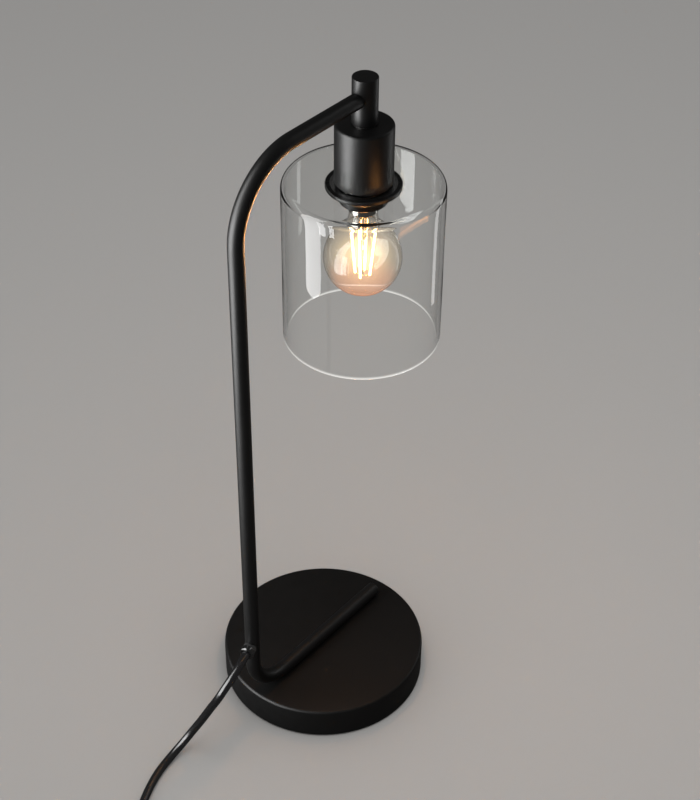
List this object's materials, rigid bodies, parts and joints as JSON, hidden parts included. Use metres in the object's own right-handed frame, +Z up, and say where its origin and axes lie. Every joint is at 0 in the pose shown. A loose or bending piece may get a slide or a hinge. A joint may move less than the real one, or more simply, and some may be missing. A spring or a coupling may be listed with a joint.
{
  "type": "table lamp",
  "caption": "Table lamp with a round weighted base, one bent tube as foot, post and arm, a clear glass cylinder shade over a screw-cap bulb, and a cord with a switch and a plug.",
  "frame": {"origin": "centre of the round base, on the table", "axes": "+Z up, +X the way the arm points, so the post stands on the -X side"},
  "size_m": [0.4068, 0.1642, 0.42],
  "materials": {
    "black_metal": "satin black powder coat",
    "cast_iron": "raw",
    "steel": "zinc plated",
    "nickel": "nickel plated",
    "brass": "bare",
    "black_plastic": "fine satin",
    "cord_jacket": "smooth PVC",
    "foam": "matt foam",
    "rubber": "matt",
    "clear_glass": "clear polished",
    "bulb_glass": "clear polished",
    "black_glass": "moulded insulator",
    "filament": "yellow coated rod",
    "wire_jacket": "smooth"
  },
  "bodies": {
    "lamp": {"base_cover": "black_metal", "base_plate": "steel", "base_weight": "cast_iron", "cord_coil": "cord_jacket", "cord_gland": "black_plastic", "cup_cover": "black_metal", "foot_nuts": "steel", "foot_pad": "foam", "foot_screws": "steel", "gland_washer": "rubber", "glass_shade": "clear_glass", "holder_body": "black_plastic", "holder_cap": "black_plastic", "holder_contacts": "brass", "holder_shell": "brass", "inner_wires": "wire_jacket", "lamp_tube": "black_metal", "lock_nut": "steel", "mains_cord": "cord_jacket", "plate_screws": "steel", "plug_body": "black_plastic", "plug_lead": "cord_jacket", "plug_pins": "nickel", "plug_relief": "black_plastic", "rocker_pin": "steel", "shade_ring": "black_plastic", "stem": "black_metal", "stem_washer": "steel", "switch_contacts": "brass", "switch_lead": "cord_jacket", "switch_lower_shell": "black_plastic", "switch_screws": "steel", "switch_upper_shell": "black_plastic", "terminal_screws": "brass", "threaded_nipple": "steel", "tube_end_cap": "black_plastic"},
    "bulb": {"bulb_glass": "bulb_glass", "bulb_cap": "nickel", "bulb_insulator": "black_glass", "bulb_contact": "brass", "bulb_stem": "bulb_glass", "filaments": "filament", "filament_wires": "nickel"},
    "rocker": {"switch_rocker": "black_plastic"}
  },
  "joints": [
    {"name": "bulb_unscrew", "type": "slide", "parent": "lamp", "child": "bulb", "axis": [0, 0, -1], "range_m": [0, 0.024]},
    {"name": "switch_rocker", "type": "hinge", "parent": "lamp", "child": "rocker", "pos_m": [-0.227, -0.002, 0.011], "axis": [0, 1, 0], "range_deg": [-16, 0]}
  ]
}
